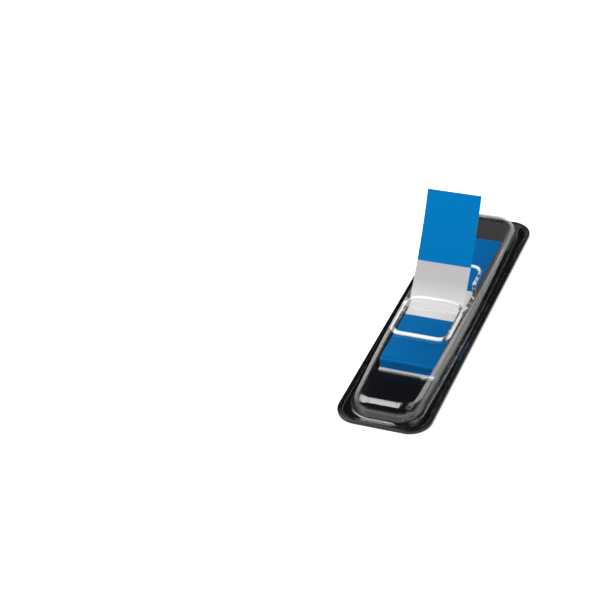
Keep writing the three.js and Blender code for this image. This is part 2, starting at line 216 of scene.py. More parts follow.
def rounded_outline(half_width, front, back, radius, corner_steps, side_shares, end_steps):
    """Rounded rectangle, counterclockwise from the right side's back end: a quarter circle at each
    corner, and between two of them a straight stretch divided at the given shares."""
    quarters = [
        (half_width - radius, back - radius, np.linspace(0, 1, end_steps + 1)),
        (radius - half_width, back - radius, 1 - side_shares[::-1]),
        (radius - half_width, front + radius, np.linspace(0, 1, end_steps + 1)),
        (half_width - radius, front + radius, side_shares),
    ]
    arcs = []
    for turn, (x, y, _) in enumerate(quarters):
        angle = np.pi / 2 * (turn + np.linspace(0, 1, corner_steps + 1))
        arcs.append(np.stack([x + radius * np.cos(angle), y + radius * np.sin(angle)], axis=1))
    pieces = []
    for turn, arc in enumerate(arcs):
        start, end = arc[-1], arcs[(turn + 1) % 4][0]
        share = quarters[turn][2][1:-1, None]
        pieces += [arc, start + (end - start) * share]
    return np.concatenate(pieces)


def box_distance(x, y, half_width, front, back, front_radius, back_radius):
    """Signed distance in plan to a rounded rectangle round x = 0, negative inside it. Its front and
    back corners may have different radii."""
    middle, half = (front + back) / 2, (back - front) / 2
    radius = np.where(y < middle, front_radius, back_radius)
    across = np.abs(x) - (half_width - radius)
    along = np.abs(y - middle) - (half - radius)
    outside = np.hypot(np.maximum(across, 0), np.maximum(along, 0))
    return outside + np.minimum(np.maximum(across, along), 0) - radius


# Materials


def new_node(tree, kind, **values):
    """A node of a kind. Values name its settings, or its inputs with their underscores as spaces."""
    node = tree.nodes.new(kind)
    for key, value in values.items():
        if hasattr(node, key):
            setattr(node, key, value)
        else:
            node.inputs[key.replace("_", " ")].default_value = value
    return node


def grain_group():
    """Node group of a fine uneven surface: a noise value, and a normal bumped by it."""
    if "fine_grain" in bpy.data.node_groups:
        return bpy.data.node_groups["fine_grain"]
    tree = bpy.data.node_groups.new("fine_grain", "ShaderNodeTree")
    for name, default in (("Scale", 1000.0), ("Strength", 0.1), ("Depth", 0.00002), ("Stretch", 1.0)):
        tree.interface.new_socket(name, in_out="INPUT", socket_type="NodeSocketFloat").default_value = default
    tree.interface.new_socket("Value", in_out="OUTPUT", socket_type="NodeSocketFloat")
    tree.interface.new_socket("Normal", in_out="OUTPUT", socket_type="NodeSocketVector")
    ends = tree.nodes.new("NodeGroupInput"), tree.nodes.new("NodeGroupOutput")
    place = tree.nodes.new("ShaderNodeTexCoord")
    stretch = new_node(tree, "ShaderNodeCombineXYZ", X=1.0, Z=1.0)
    scaled = new_node(tree, "ShaderNodeVectorMath", operation="MULTIPLY")
    noise = new_node(tree, "ShaderNodeTexNoise", Detail=3.0, Roughness=0.55)
    bump = tree.nodes.new("ShaderNodeBump")
    link = tree.links.new
    link(ends[0].outputs["Stretch"], stretch.inputs["Y"])
    link(place.outputs["Object"], scaled.inputs[0])
    link(stretch.outputs[0], scaled.inputs[1])
    link(scaled.outputs[0], noise.inputs["Vector"])
    link(ends[0].outputs["Scale"], noise.inputs["Scale"])
    link(noise.outputs["Fac"], bump.inputs["Height"])
    link(ends[0].outputs["Strength"], bump.inputs["Strength"])
    link(ends[0].outputs["Depth"], bump.inputs["Distance"])
    link(noise.outputs["Fac"], ends[1].inputs["Value"])
    link(bump.outputs["Normal"], ends[1].inputs["Normal"])
    return tree


def new_material(name, **values):
    """A material of one Principled shader with these plain values; returns it, its tree and shader."""
    material = bpy.data.materials.new(name)
    material.use_nodes = True
    tree = material.node_tree
    shader = tree.nodes["Principled BSDF"]
    for key, value in values.items():
        shader.inputs[key.replace("_", " ")].default_value = value
    return material, tree, shader


def add_grain(tree, shader, scale, strength, depth, stretch=1.0):
    """Places the fine grain in a material, bumps its shader's normal by it and returns the node."""
    grain = tree.nodes.new("ShaderNodeGroup")
    grain.node_tree = grain_group()
    for key, value in (("Scale", scale), ("Strength", strength), ("Depth", depth), ("Stretch", stretch)):
        grain.inputs[key].default_value = value
    tree.links.new(grain.outputs["Normal"], shader.inputs["Normal"])
    return grain


def spread(tree, source, target, low, high):
    """Carries a value from 0..1 to low..high and on to the target socket."""
    ranged = new_node(tree, "ShaderNodeMapRange", To_Min=low, To_Max=high)
    tree.links.new(source, ranged.inputs["Value"])
    tree.links.new(ranged.outputs["Result"], target)
    return ranged


def math(tree, operation, first, second=None):
    """A math node; each of its one or two inputs is a number or another node's output."""
    node = new_node(tree, "ShaderNodeMath", operation=operation)
    for socket, value in zip(node.inputs, (first, second)):
        if isinstance(value, bpy.types.NodeSocket):
            tree.links.new(value, socket)
        elif value is not None:
            socket.default_value = value
    return node.outputs[0]


def mix(tree, factor, first, second):
    """A colour mix; the factor is a socket, and each colour is a tuple or a socket."""
    node = new_node(tree, "ShaderNodeMix", data_type="RGBA")
    tree.links.new(factor, node.inputs[0])
    for socket, value in ((node.inputs[6], first), (node.inputs[7], second)):
        if isinstance(value, bpy.types.NodeSocket):
            tree.links.new(value, socket)
        else:
            socket.default_value = (*value, 1.0)
    return node.outputs[2]


def object_axes(tree):
    """The X, Y and Z sockets of the Object coordinates, in metres."""
    place = tree.nodes.new("ShaderNodeTexCoord")
    axes = tree.nodes.new("ShaderNodeSeparateXYZ")
    tree.links.new(place.outputs["Object"], axes.inputs[0])
    return axes.outputs


def tray_plastic(tint, matt_painted_sheen):
    """Black moulded plastic: high gloss with a faint unevenness. Its floor behind the pad is rougher, and its colour
    there is a painted sheen: lighter, with faint streaks, standing in for the grey light seen on that floor."""
    material, tree, shader = new_material("tray_plastic", IOR=1.5)
    grain = add_grain(tree, shader, 900.0, 0.06, 0.00002)
    axes = object_axes(tree)
    inside = math(tree, "LESS_THAN", axes[2], TRAY_HIGH[2] - 0.1 * MM)
    inside = math(tree, "MULTIPLY", inside, math(tree, "LESS_THAN", math(tree, "ABSOLUTE", axes[0]), 7.0 * MM))
    behind = math(tree, "MULTIPLY", inside, math(tree, "GREATER_THAN", axes[1], PAD_HIGH[1]))
    # Painted sheen: the floor behind the pad gets a lighter colour in faint streaks, in place of the grey light seen
    # there.
    streaks = mix(tree, grain.outputs["Value"], tuple(0.7 * c for c in matt_painted_sheen), tuple(1.4 * c for c in matt_painted_sheen))
    tree.links.new(mix(tree, behind, tint, streaks), shader.inputs["Base Color"])
    rough = spread(tree, grain.outputs["Value"], shader.inputs["Roughness"], 0.12, 0.22)
    tree.links.new(
        math(tree, "MAXIMUM", rough.outputs["Result"], math(tree, "MULTIPLY", behind, 0.5)), shader.inputs["Roughness"])
    return material


def shadow_share(tree, alpha, share):
    """An alpha that counts only by this share for shadows: thin film lets most of the light through."""
    shadow = tree.nodes.new("ShaderNodeLightPath").outputs["Is Shadow Ray"]
    kept = math(tree, "SUBTRACT", 1.0, math(tree, "MULTIPLY", shadow, 1.0 - share))
    return math(tree, "MULTIPLY", alpha, kept)


def clear_sheet(tint, painted_veil_tint):
    """Clear sheet: it reflects like a bare surface by Schlick's rule, a few percent straight on and all
    at a grazing angle, and lets the rest through unbent, as a thin sheet does. Its back end, looked
    through edge on, gets a painted grey veil in streaks along the edge, standing in for the light that
    the sheet bends and reflects there. Its front corners are drawn into wrinkles."""
    material, tree, shader = new_material("clear_sheet")
    grain = add_grain(tree, shader, 420.0, 0.10, 0.00003, 0.25)
    spread(tree, grain.outputs["Value"], shader.inputs["Roughness"], 0.05, 0.10)
    facing = new_node(tree, "ShaderNodeLayerWeight", Blend=0.5).outputs["Facing"]
    grazing = math(tree, "MULTIPLY", math(tree, "POWER", facing, 4.8), 0.94)
    place = tree.nodes.new("ShaderNodeTexCoord")
    stretch = new_node(tree, "ShaderNodeVectorMath", operation="MULTIPLY")
    stretch.inputs[1].default_value = (0.12, 1.0, 1.0)
    tree.links.new(place.outputs["Object"], stretch.inputs[0])
    # Painted veil: at the back end the sheet is made more opaque, greyer and less mirror-like, in streaks, in place of
    # the light it bends and reflects.
    streaks = new_node(tree, "ShaderNodeTexNoise", Scale=1500.0, Detail=1.0)
    tree.links.new(stretch.outputs[0], streaks.inputs["Vector"])
    end = new_node(tree, "ShaderNodeMapRange", interpolation_type="SMOOTHSTEP")
    end.inputs["From Min"].default_value, end.inputs["From Max"].default_value = 33.2 * MM, 34.2 * MM
    axes = object_axes(tree)
    tree.links.new(axes[1], end.inputs["Value"])
    raised = new_node(tree, "ShaderNodeMapRange", From_Min=0.8 * MM, From_Max=1.4 * MM)
    tree.links.new(axes[2], raised.inputs["Value"])
    edge_on_painted = math(tree, "MULTIPLY", end.outputs["Result"], raised.outputs["Result"])
    painted_veil = math(tree, "MULTIPLY", edge_on_painted, math(tree, "MULTIPLY", streaks.outputs["Fac"], 0.85))
    alpha = math(tree, "MINIMUM", math(tree, "ADD", math(tree, "ADD", grazing, 0.066), painted_veil), 1.0)
    tree.links.new(alpha, shader.inputs["Alpha"])
    tree.links.new(mix(tree, edge_on_painted, tint, painted_veil_tint), shader.inputs["Base Color"])
    tree.links.new(math(tree, "SUBTRACT", 1.0, math(tree, "MULTIPLY", edge_on_painted, 0.6)), shader.inputs["Metallic"])

    corner = new_node(tree, "ShaderNodeVectorMath", operation="DISTANCE")
    corner.inputs[1].default_value = (5.4 * MM, COVER_LOW[1] + 3.0 * MM, 2.8 * MM)
    mirrored = new_node(tree, "ShaderNodeVectorMath", operation="ABSOLUTE")
    tree.links.new(place.outputs["Object"], mirrored.inputs[0])
    folded = new_node(tree, "ShaderNodeVectorMath", operation="MULTIPLY")
    folded.inputs[1].default_value = (1.0, -1.0, 1.0)
    tree.links.new(mirrored.outputs[0], folded.inputs[0])
    tree.links.new(folded.outputs[0], corner.inputs[0])
    near = new_node(tree, "ShaderNodeMapRange", From_Min=0.2 * MM, From_Max=2.6 * MM, To_Min=1.0, To_Max=0.0)
    tree.links.new(corner.outputs["Value"], near.inputs["Value"])
    creases = new_node(tree, "ShaderNodeTexNoise", Scale=1100.0, Detail=2.0)
    tree.links.new(place.outputs["Object"], creases.inputs["Vector"])
    ahead = math(tree, "LESS_THAN", axes[1], 0.0)
    wrinkles = math(tree, "MULTIPLY", math(tree, "MULTIPLY", near.outputs["Result"], ahead), creases.outputs["Fac"])
    bump = new_node(tree, "ShaderNodeBump", Strength=1.0, Distance=0.35 * MM)
    tree.links.new(wrinkles, bump.inputs["Height"])
    tree.links.new(grain.outputs["Normal"], bump.inputs["Normal"])
    tree.links.new(bump.outputs["Normal"], shader.inputs["Normal"])
    return material


def clear_bead(name, tint, dark, inner, outer, solid):
    """A bead of the clear sheet, painted nearly white: a painted highlight for the light that gathers in
    the thick bead. In its rails along the two sides dark patches are painted, a painted reflection of the
    dark room, between two distances from the middle line. Solid is how dark it stays between the patches."""
    material, tree, shader = new_material(name, Roughness=0.12, Alpha=0.9)
    add_grain(tree, shader, 500.0, 0.25, 0.00005)
    place = tree.nodes.new("ShaderNodeTexCoord")
    patches = new_node(tree, "ShaderNodeTexNoise", Scale=520.0, Detail=3.0, Roughness=0.65)
    tree.links.new(place.outputs["Object"], patches.inputs["Vector"])
    broken = new_node(tree, "ShaderNodeMapRange", From_Min=0.42, From_Max=0.53, To_Min=solid, To_Max=0.95)
    tree.links.new(patches.outputs["Fac"], broken.inputs["Value"])
    aside = math(tree, "ABSOLUTE", object_axes(tree)[0])
    side = new_node(tree, "ShaderNodeMapRange", From_Min=inner, From_Max=inner + 0.2 * MM)
    tree.links.new(aside, side.inputs["Value"])
    past = new_node(tree, "ShaderNodeMapRange", From_Min=outer, From_Max=outer + 0.2 * MM, To_Min=1.0, To_Max=0.0)
    tree.links.new(aside, past.inputs["Value"])
    flank = math(tree, "MULTIPLY", side.outputs["Result"], past.outputs["Result"])
    # Painted highlight and painted reflection: white bead colour, with dark patches in the side rails.
    tree.links.new(mix(tree, math(tree, "MULTIPLY", broken.outputs["Result"], flank), tint, dark),
                   shader.inputs["Base Color"])
    return material


def white_card(tint):
    """Uncoated white card with a faint fibre."""
    material, tree, shader = new_material("white_card", Roughness=0.85)
    grain = add_grain(tree, shader, 6000.0, 0.4, 0.00002)
    darker = tuple(0.93 * c for c in tint)
    tree.links.new(mix(tree, grain.outputs["Value"], darker, tint), shader.inputs["Base Color"])
    return material


def pad_film(flags):
    """The stack: on top the tips' blue, a frosted band, and blue again. Its front shows the folded
    tips, and its long sides the cut edges of the layers, turn by turn tip and frosted film. The front's
    blue is painted lighter, painted light for a face that the lamps overhead hardly reach."""
    material, tree, shader = new_material("pad_film", Specular_IOR_Level=0.03)
    axes = object_axes(tree)
    grain = add_grain(tree, shader, 1500.0, 0.15, 0.00003, 0.5)
    spread(tree, grain.outputs["Value"], shader.inputs["Roughness"], 0.34, 0.5)
    pitch = (PAD_HIGH[2] - PAD_LOW[2]) / flags.layers
    layer = math(tree, "DIVIDE", math(tree, "SUBTRACT", axes[2], PAD_LOW[2]), pitch)
    turn = math(tree, "GREATER_THAN", math(tree, "PINGPONG", layer, 1.0), 0.5)
    ahead = math(tree, "LESS_THAN", axes[1], flags.tip_back)
    behind = math(tree, "GREATER_THAN", axes[1], flags.tip_front)
    tip = math(tree, "MAXIMUM", ahead, behind)
    on_side = math(tree, "GREATER_THAN", math(tree, "ABSOLUTE", axes[0]), PAD_HIGH[0] - 3 * flags.jitter)
    on_top = math(tree, "GREATER_THAN", axes[2], PAD_HIGH[2] - 0.4 * pitch)
    cut_edge = math(tree, "MULTIPLY", on_side, math(tree, "SUBTRACT", 1.0, on_top))
    shade = mix(tree, grain.outputs["Value"], tuple(0.88 * c for c in flags.blue), flags.blue)
    film = mix(tree, on_top, tuple(0.8 * c for c in flags.frosted), tuple(1.2 * c for c in flags.frosted))
    edges = mix(tree, turn, flags.edge, tuple(0.45 * c for c in flags.edge))
    # Painted light: the blue of the front band is made 1.5 times as light, as the lamps overhead hardly reach that
    # face.
    front = math(tree, "LESS_THAN", axes[1], PAD_LOW[1] + 0.5 * MM)
    shade = mix(tree, front, shade, tuple(1.5 * c for c in flags.blue))
    faces = mix(tree, tip, film, shade)
    tree.links.new(mix(tree, cut_edge, faces, edges), shader.inputs["Base Color"])
    return material


def flag_film(flags):
    """Raised flag: coloured tip, and frosted film that turns clear where it lies on the pad. The tip's blue is a
    lighter copy of the pad's blue, lighter still towards the top, and the frosted film is lighter near its foot: all
    painted light.
    """
    material, tree, shader = new_material("flag_film", Specular_IOR_Level=0.03)
    axes = object_axes(tree)
    grain = add_grain(tree, shader, 1500.0, 0.12, 0.00003)
    spread(tree, grain.outputs["Value"], shader.inputs["Roughness"], 0.38, 0.52)
    middle_slope = flags.rise_end - 0.3 * (flags.rise_end - flags.rise_start)
    tip_z = FLAG_HIGH[2] - flags.tip_length * np.sin(middle_slope)
    tip = math(tree, "GREATER_THAN", axes[2], tip_z)
    # Painted light: the tip's blue grows lighter towards the top.
    painted_rise = new_node(tree, "ShaderNodeMapRange", From_Min=tip_z, From_Max=FLAG_HIGH[2])
    tree.links.new(axes[2], painted_rise.inputs["Value"])
    blue = mix(tree, painted_rise.outputs["Result"], tuple(0.94 * c for c in flags.raised_painted_blue),
               tuple(1.08 * c for c in flags.raised_painted_blue))
    # Painted light: the frosted film is made lighter near its foot, by the lip.
    low = new_node(tree, "ShaderNodeMapRange", From_Min=PAD_HIGH[2], From_Max=PAD_HIGH[2] + 5 * MM)
    tree.links.new(axes[2], low.inputs["Value"])
    frosted = mix(tree, low.outputs["Result"], tuple(1.48 * c for c in flags.frosted), flags.frosted)
    tree.links.new(mix(tree, tip, frosted, blue), shader.inputs["Base Color"])
    lifted = new_node(tree, "ShaderNodeMapRange", To_Min=0.0, To_Max=0.9)
    lifted.inputs["From Min"].default_value = PAD_HIGH[2] + 0.2 * MM
    lifted.inputs["From Max"].default_value = PAD_HIGH[2] + 1.2 * MM
    tree.links.new(axes[2], lifted.inputs["Value"])
    alpha = math(tree, "MAXIMUM", lifted.outputs["Result"], tip)
    tree.links.new(shadow_share(tree, alpha, 0.25), shader.inputs["Alpha"])
    return material


# Cover


def wall_bow(y, cover):
    """How far the cover's long walls bow out: a square of y, nothing at the ends."""
    return cover.bow * (1 - (y / (COVER_HIGH[1] - cover.flange_end)) ** 2)


def wall_under(top, cover):
    """Height of the straight part of a wall whose top stands this high."""
    return top - cover.top_round * (1 - np.sin(np.arctan(cover.side_lean))) - COVER_LOW[2] - cover.sheet


def top_height(y, cover):
    """Height of the cover's top: a crest less a square of y, larger to the front than to the back."""
    end = np.where(y < 0, cover.front_top, cover.back_top)
    return cover.crest_top - (cover.crest_top - end) * (y / (COVER_HIGH[1] - cover.flange_end)) ** 2


def side_fall(x, y, cover):
    """How far the round edge over the long walls lies under the plain top: a quarter circle across."""
    flat = cover.half_width + wall_bow(y, cover) - cover.side_lean * wall_under(cover.crest_top, cover)
    flat = flat - cover.top_round * np.cos(np.arctan(cover.side_lean))
    past = np.clip(np.abs(x) - flat, 0, cover.top_round)
    return cover.top_round - np.sqrt(cover.top_round**2 - past**2)


def tongue_rise(x, y, cover):
    """The tongue's arch above the plain top: it grows with the square of the way from its root to its
    lip, and falls off with the fourth power of the way aside."""
    along = np.clip((y - cover.tongue_front) / (cover.lip - cover.tongue_front), 0, 1)
    across = np.maximum(0, 1 - (x / cover.tongue) ** 4)
    return cover.lip_rise * along**2 * across * (y < cover.lip + 2 * cover.tongue_bead)


def smooth(value, low, high):
    """A smooth step from 0 to 1 between two values: three squares less two cubes."""
    share = np.clip((value - low) / (high - low), 0, 1)
    return share * share * (3 - 2 * share)


def rail_start(cover):
    """Where the mouth's rails branch off the tongue's rails."""
    return cover.lip - cover.lip_corner - cover.branch


def rail_half_width(y, cover):
    """Half the distance between the side rails behind the lip: they branch off the tongue's rails, pass
    the mouth, and draw in to the window."""
    wider = (cover.mouth - cover.tongue) * smooth(y, rail_start(cover), cover.lip)
    return cover.tongue + wider - (cover.mouth - cover.window) * smooth(y, cover.mouth_back, cover.window_front)


def hole_distance(x, y, cover):
    """Signed distance to the opening behind the tongue: negative inside the mouth or the window, and
    never inside the tongue."""
    window = box_distance(
        x, y, rail_half_width(y, cover) + cover.edge_in_bead, rail_start(cover) - cover.window_corner,
        cover.window_back + cover.edge_in_bead, 0, cover.window_corner + cover.edge_in_bead)
    tongue = box_distance(
        x, y, cover.tongue + cover.edge_in_bead, cover.tongue_front, cover.lip + cover.edge_in_bead,
        cover.tongue_front_corner, cover.lip_corner + cover.edge_in_bead)
    return np.maximum(window, -tongue)


def arc(x, y, radius, start):
    """Points of a quarter circle in plan, counterclockwise from a number of quarter turns."""
    angles = np.pi / 2 * (start + np.linspace(0, 1, 13))
    return np.stack([x + radius * np.cos(angles), y + radius * np.sin(angles)], axis=1)


def tongue_path(cover):
    """Middle of the bead round the tongue, in plan, as a closed loop."""
    x, lip = cover.tongue - cover.lip_corner, cover.lip - cover.lip_corner
    root, front = cover.tongue - cover.tongue_front_corner, cover.tongue_front + cover.tongue_front_corner
    corners = [
        arc(x, lip, cover.lip_corner, 0), arc(-x, lip, cover.lip_corner, 1),
        arc(-root, front, cover.tongue_front_corner, 2), arc(root, front, cover.tongue_front_corner, 3)]
    path = []
    for corner, after in zip(corners, corners[1:] + corners[:1]):
        share = np.linspace(0, 1, 34)[1:-1, None]
        path += [corner, corner[-1] + (after[0] - corner[-1]) * share]
    return np.concatenate(path)


def window_path(cover):
    """Middle of the bead round the mouth and the window, in plan, from one side rail to the other."""
    x, back = cover.window - cover.window_corner, cover.window_back - cover.window_corner
    y = np.linspace(rail_start(cover), back, 60)[:-1]
    rail = np.stack([rail_half_width(y, cover), y], axis=1)
    end = np.stack([np.linspace(x, -x, 20)[1:-1], np.full(18, cover.window_back)], axis=1)
    return np.concatenate([
        rail, arc(x, back, cover.window_corner, 0), end, arc(-x, back, cover.window_corner, 1),
        (rail * [-1, 1])[::-1]])


def bead_grid(path, half_width, cover, loop):
    """A bead as a tube of half oval section along a path, with a shallow underside, its middle in the
    cover's upper face."""
    x, y = path.T
    z = top_height(y, cover) - side_fall(x, y, cover) + tongue_rise(x, y, cover)
    middle = np.stack([x, y, z], axis=1)
    if loop:
        along = np.roll(middle, -1, axis=0) - np.roll(middle, 1, axis=0)
    else:
        along = np.gradient(middle, axis=0)
    along /= np.linalg.norm(along, axis=1, keepdims=True)
    aside = np.stack([-along[:, 1], along[:, 0], np.zeros(len(path))], axis=1)
    aside /= np.linalg.norm(aside, axis=1, keepdims=True)
    up = np.cross(along, aside)
    angles = np.linspace(0, 2 * np.pi, 25)[:-1, None]
    height = cover.bead_height * np.maximum(np.sin(angles), 0.25 * np.sin(angles))
    ring = half_width * np.cos(angles)[None] * aside[:, None] + height[None] * up[:, None]
    grid = middle[:, None] + ring
    if loop:
        return np.concatenate([grid, grid[:1]])
    ends = np.broadcast_to(middle[[0, -1], None], (2, *grid.shape[1:]))
    return np.concatenate([ends[:1], grid, ends[1:]])


def cover_rings(cover):
    """Rings of the cover from the flange's edge inwards: flange, foot round, leaning wall, top round,
    and the top closing on the middle line, as an array of rings by points by 3."""
    shares = side_stations(18, 150, 0.32, 0.78)
    half_length = COVER_HIGH[1] - cover.flange_end
    seat_top = COVER_LOW[2] + cover.sheet

    def ring(side, front, back, height):
        points = rounded_outline(
            cover.half_width - side, front - half_length, half_length - back, cover.corner - side, 12, shares, 10)
        x, y = points.T
        x = x + np.clip(x / MM, -1, 1) * wall_bow(y, cover)
        return np.stack([x, y, np.broadcast_to(height(y), y.shape)], axis=1)

    clearance = TRAY_HIGH[0] - COVER_HIGH[0]
    flange = rounded_outline(
        COVER_HIGH[0], COVER_LOW[1], COVER_HIGH[1], settings("tray").corner - clearance, 12, shares, 10)
    inner = rounded_outline(
        COVER_HIGH[0] - cover.sheet / 4, COVER_LOW[1] + cover.sheet / 4, COVER_HIGH[1] - cover.sheet / 4,
        settings("tray").corner - clearance - cover.sheet / 4, 12, shares, 10)
    rings = [np.column_stack([plan, np.full(len(plan), seat_top)]) for plan in (flange, inner)]
    for angle in np.linspace(0, np.pi / 2, 6):
        flare = -cover.foot * (1 - np.sin(angle))
        rise = cover.foot * (1 - np.cos(angle))
        rings.append(ring(flare, flare, flare, lambda y: seat_top + rise))

    lean = np.arctan(cover.side_lean)
    for angle in np.linspace(lean, np.pi / 2, 12):
        inward = cover.top_round * (np.cos(lean) - np.cos(angle))
        fall = cover.top_round * (1 - np.sin(angle))
        rings.append(ring(
            inward + cover.side_lean * wall_under(cover.crest_top, cover),
            inward + cover.front_lean * wall_under(cover.front_top, cover),
            inward + cover.back_lean * wall_under(cover.back_top, cover),
            lambda y: top_height(y, cover) - fall))
    edge = rings[-1]
    middle_y = np.clip(edge[:, 1], edge[:, 1].min() + cover.corner / 2, edge[:, 1].max() - cover.corner / 2)
    middle = np.column_stack([np.zeros(len(edge)), middle_y])
    for share in np.linspace(0, 1, 39)[1:]:
        plan = edge[:, :2] + (middle - edge[:, :2]) * share
        rings.append(np.column_stack([plan, top_height(plan[:, 1], cover)]))
    return np.array(rings)


def cut_to_edge(points, faces, cover):
    """Drops the faces inside the opening, and slides the points along the cut onto its edge: a point
    moves by its signed distance, against the slope of that distance."""
    x, y = points[:, 0], points[:, 1]
    near = hole_distance(x, y, cover)
    centre = points[faces].mean(axis=1)
    kept = hole_distance(centre[:, 0], centre[:, 1], cover) > 0
    border = np.zeros(len(points), dtype=bool)
    border[np.intersect1d(faces[kept], faces[~kept])] = True
    step = 0.01 * MM
    slope = np.stack([
        hole_distance(x + step, y, cover) - hole_distance(x - step, y, cover),
        hole_distance(x, y + step, cover) - hole_distance(x, y - step, cover)], axis=1) / (2 * step)
    moved = points.copy()
    moved[border, :2] -= (near[:, None] * slope)[border]
    new_x, new_y = moved[:, 0], moved[:, 1]
    lift = top_height(new_y, cover) - side_fall(new_x, new_y, cover) - top_height(y, cover) + side_fall(x, y, cover)
    moved[:, 2] += np.where(border, lift, 0)
    return moved, faces[kept]


# Operators


def settings(name):
    """One of the scene's setting groups."""
    return getattr(bpy.context.scene, "dispenser_" + name)


class DISPENSER_OT_tray(bpy.types.Operator):
    """Add the black tray: a plate with a rounded rim and a sunk floor"""

    bl_idname = "dispenser.tray"
    bl_label = "Tray"

    def execute(self, context):
        tray = settings("tray")
        shares = side_stations(3, 3, 0.4, 0.6)
        turns = np.linspace(0, np.pi / 2, 6)
        top = TRAY_HIGH[2]
        section = [(tray.edge * (1 - np.sin(a)), tray.edge * (1 - np.cos(a))) for a in turns]
        section += [(tray.edge * (1 - np.cos(a)), top - tray.edge * (1 - np.sin(a))) for a in turns]
        section += [(tray.rim - tray.edge * np.cos(a), top - tray.edge * (1 - np.sin(a))) for a in turns[::-1]]
        section += [(tray.rim + across * MM, tray.floor + up * MM) for across, up in (
            (0, 0.04), (0.01, 0.01), (0.04, 0), (0.1, 0), (0.2, 0))]
        rings = []
        for inset, z in section:
            plan = rounded_outline(
                TRAY_HIGH[0] - inset, TRAY_LOW[1] + inset, TRAY_HIGH[1] - inset, tray.corner - inset, 14, shares, 4)
            rings.append(np.column_stack([plan, np.full(len(plan), z)]))
        low, high = rings[0] * [0, 1, 1], rings[-1] * [0, 1, 1]
        reach = TRAY_HIGH[1] - tray.corner
        low[:, 1], high[:, 1] = np.clip(low[:, 1], -reach, reach), np.clip(high[:, 1], -reach, reach)
        rings = np.array([low, *rings, high])
        faces = grid_faces(*rings.shape[:2], loop=True)
        piece = mesh_piece("tray", rings.reshape(-1, 3), faces, tray_plastic(tray.tint, tray.matt_painted_sheen))
        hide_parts("base_tray")
        return {"FINISHED"}


class DISPENSER_OT_cover(bpy.types.Operator):
    """Add the clear cover: one formed sheet with its tongue, beads, mouth and window"""

    bl_idname = "dispenser.cover"
    bl_label = "Cover"

    def execute(self, context):
        cover = settings("cover")
        rings = cover_rings(cover)
        points, faces = rings.reshape(-1, 3), grid_faces(*rings.shape[:2], loop=True)
        points, faces = cut_to_edge(points, faces, cover)
        points[:, 2] += tongue_rise(points[:, 0], points[:, 1], cover)
        piece = mesh_piece("cover_sheet", points, faces, clear_sheet(cover.tint, cover.painted_veil_tint))
        wall = piece.modifiers.new("sheet", "SOLIDIFY")
        wall.thickness = cover.sheet
        wall.offset = -1
        piece.visible_shadow = False
        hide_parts("clear_cover")
        for name, path, half_width, loop, inner, outer, solid in (
            ("tongue_bead", tongue_path(cover), cover.tongue_bead, True, 5.2 * MM, 5.9 * MM, 0.45),
            ("window_bead", window_path(cover), cover.window_bead, False, 4.9 * MM, 7.2 * MM, 0.0),
        ):
            material = clear_bead(name, cover.bead_painted_light, cover.bead_painted_dark, inner, outer, solid)
            grid = bead_grid(path, half_width, cover, loop)
            faces = grid_faces(*grid.shape[:2], loop=True)
            bead = mesh_piece(name, grid.reshape(-1, 3), faces, material)
            bead.visible_shadow = False
            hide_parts("clear_cover")
        return {"FINISHED"}


class DISPENSER_OT_card(bpy.types.Operator):
    """Give the backing card its paper"""

    bl_idname = "dispenser.card"
    bl_label = "Card"

    def execute(self, context):
        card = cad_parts["backing_card"]
        card.data.materials.clear()
        card.data.materials.append(white_card(settings("flags").card))
        return {"FINISHED"}


class DISPENSER_OT_pad(bpy.types.Operator):
    """Add the pad: film layers stacked a little out of line, drooping over at both ends"""

    bl_idname = "dispenser.pad"
    bl_label = "Pad"

    def execute(self, context):
        flags = settings("flags")
        pitch = (PAD_HIGH[2] - PAD_LOW[2]) / flags.layers
        shares = side_stations(8, 8, 0.4, 0.6)
        wander = np.random.default_rng(7).uniform(-1, 1, (flags.layers, 3)) * flags.jitter
        rings = []
        for layer in range(flags.layers):
            for share, groove in ((0.0, 1.0), (0.2, 0.0), (0.8, 0.0), (1.0, 1.0)):
                z = PAD_LOW[2] + (layer + share) * pitch
                over = max(0.0, z - PAD_HIGH[2] + flags.front_round)
                droop = flags.front_round - np.sqrt(flags.front_round**2 - over**2)
                aside, ahead, behind = wander[layer] * 0.5 * (1 - groove)
                inset = flags.jitter * (0.5 + 0.7 * groove)
                plan = rounded_outline(
                    PAD_HIGH[0] - inset, PAD_LOW[1] + droop + inset + ahead, PAD_HIGH[1] - droop - inset + behind,
                    0.15 * MM, 3, shares, 4)
                rings.append(np.column_stack([plan + [aside, 0], np.full(len(plan), z)]))
        low, high = rings[0] * [0, 1, 1], rings[-1] * [0, 1, 1]
        rings = np.array([low, *rings, high])
        faces = grid_faces(*rings.shape[:2], loop=True)
        piece = mesh_piece("pad_stack", rings.reshape(-1, 3), faces, pad_film(flags))
        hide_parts("flag_pad")
        return {"FINISHED"}


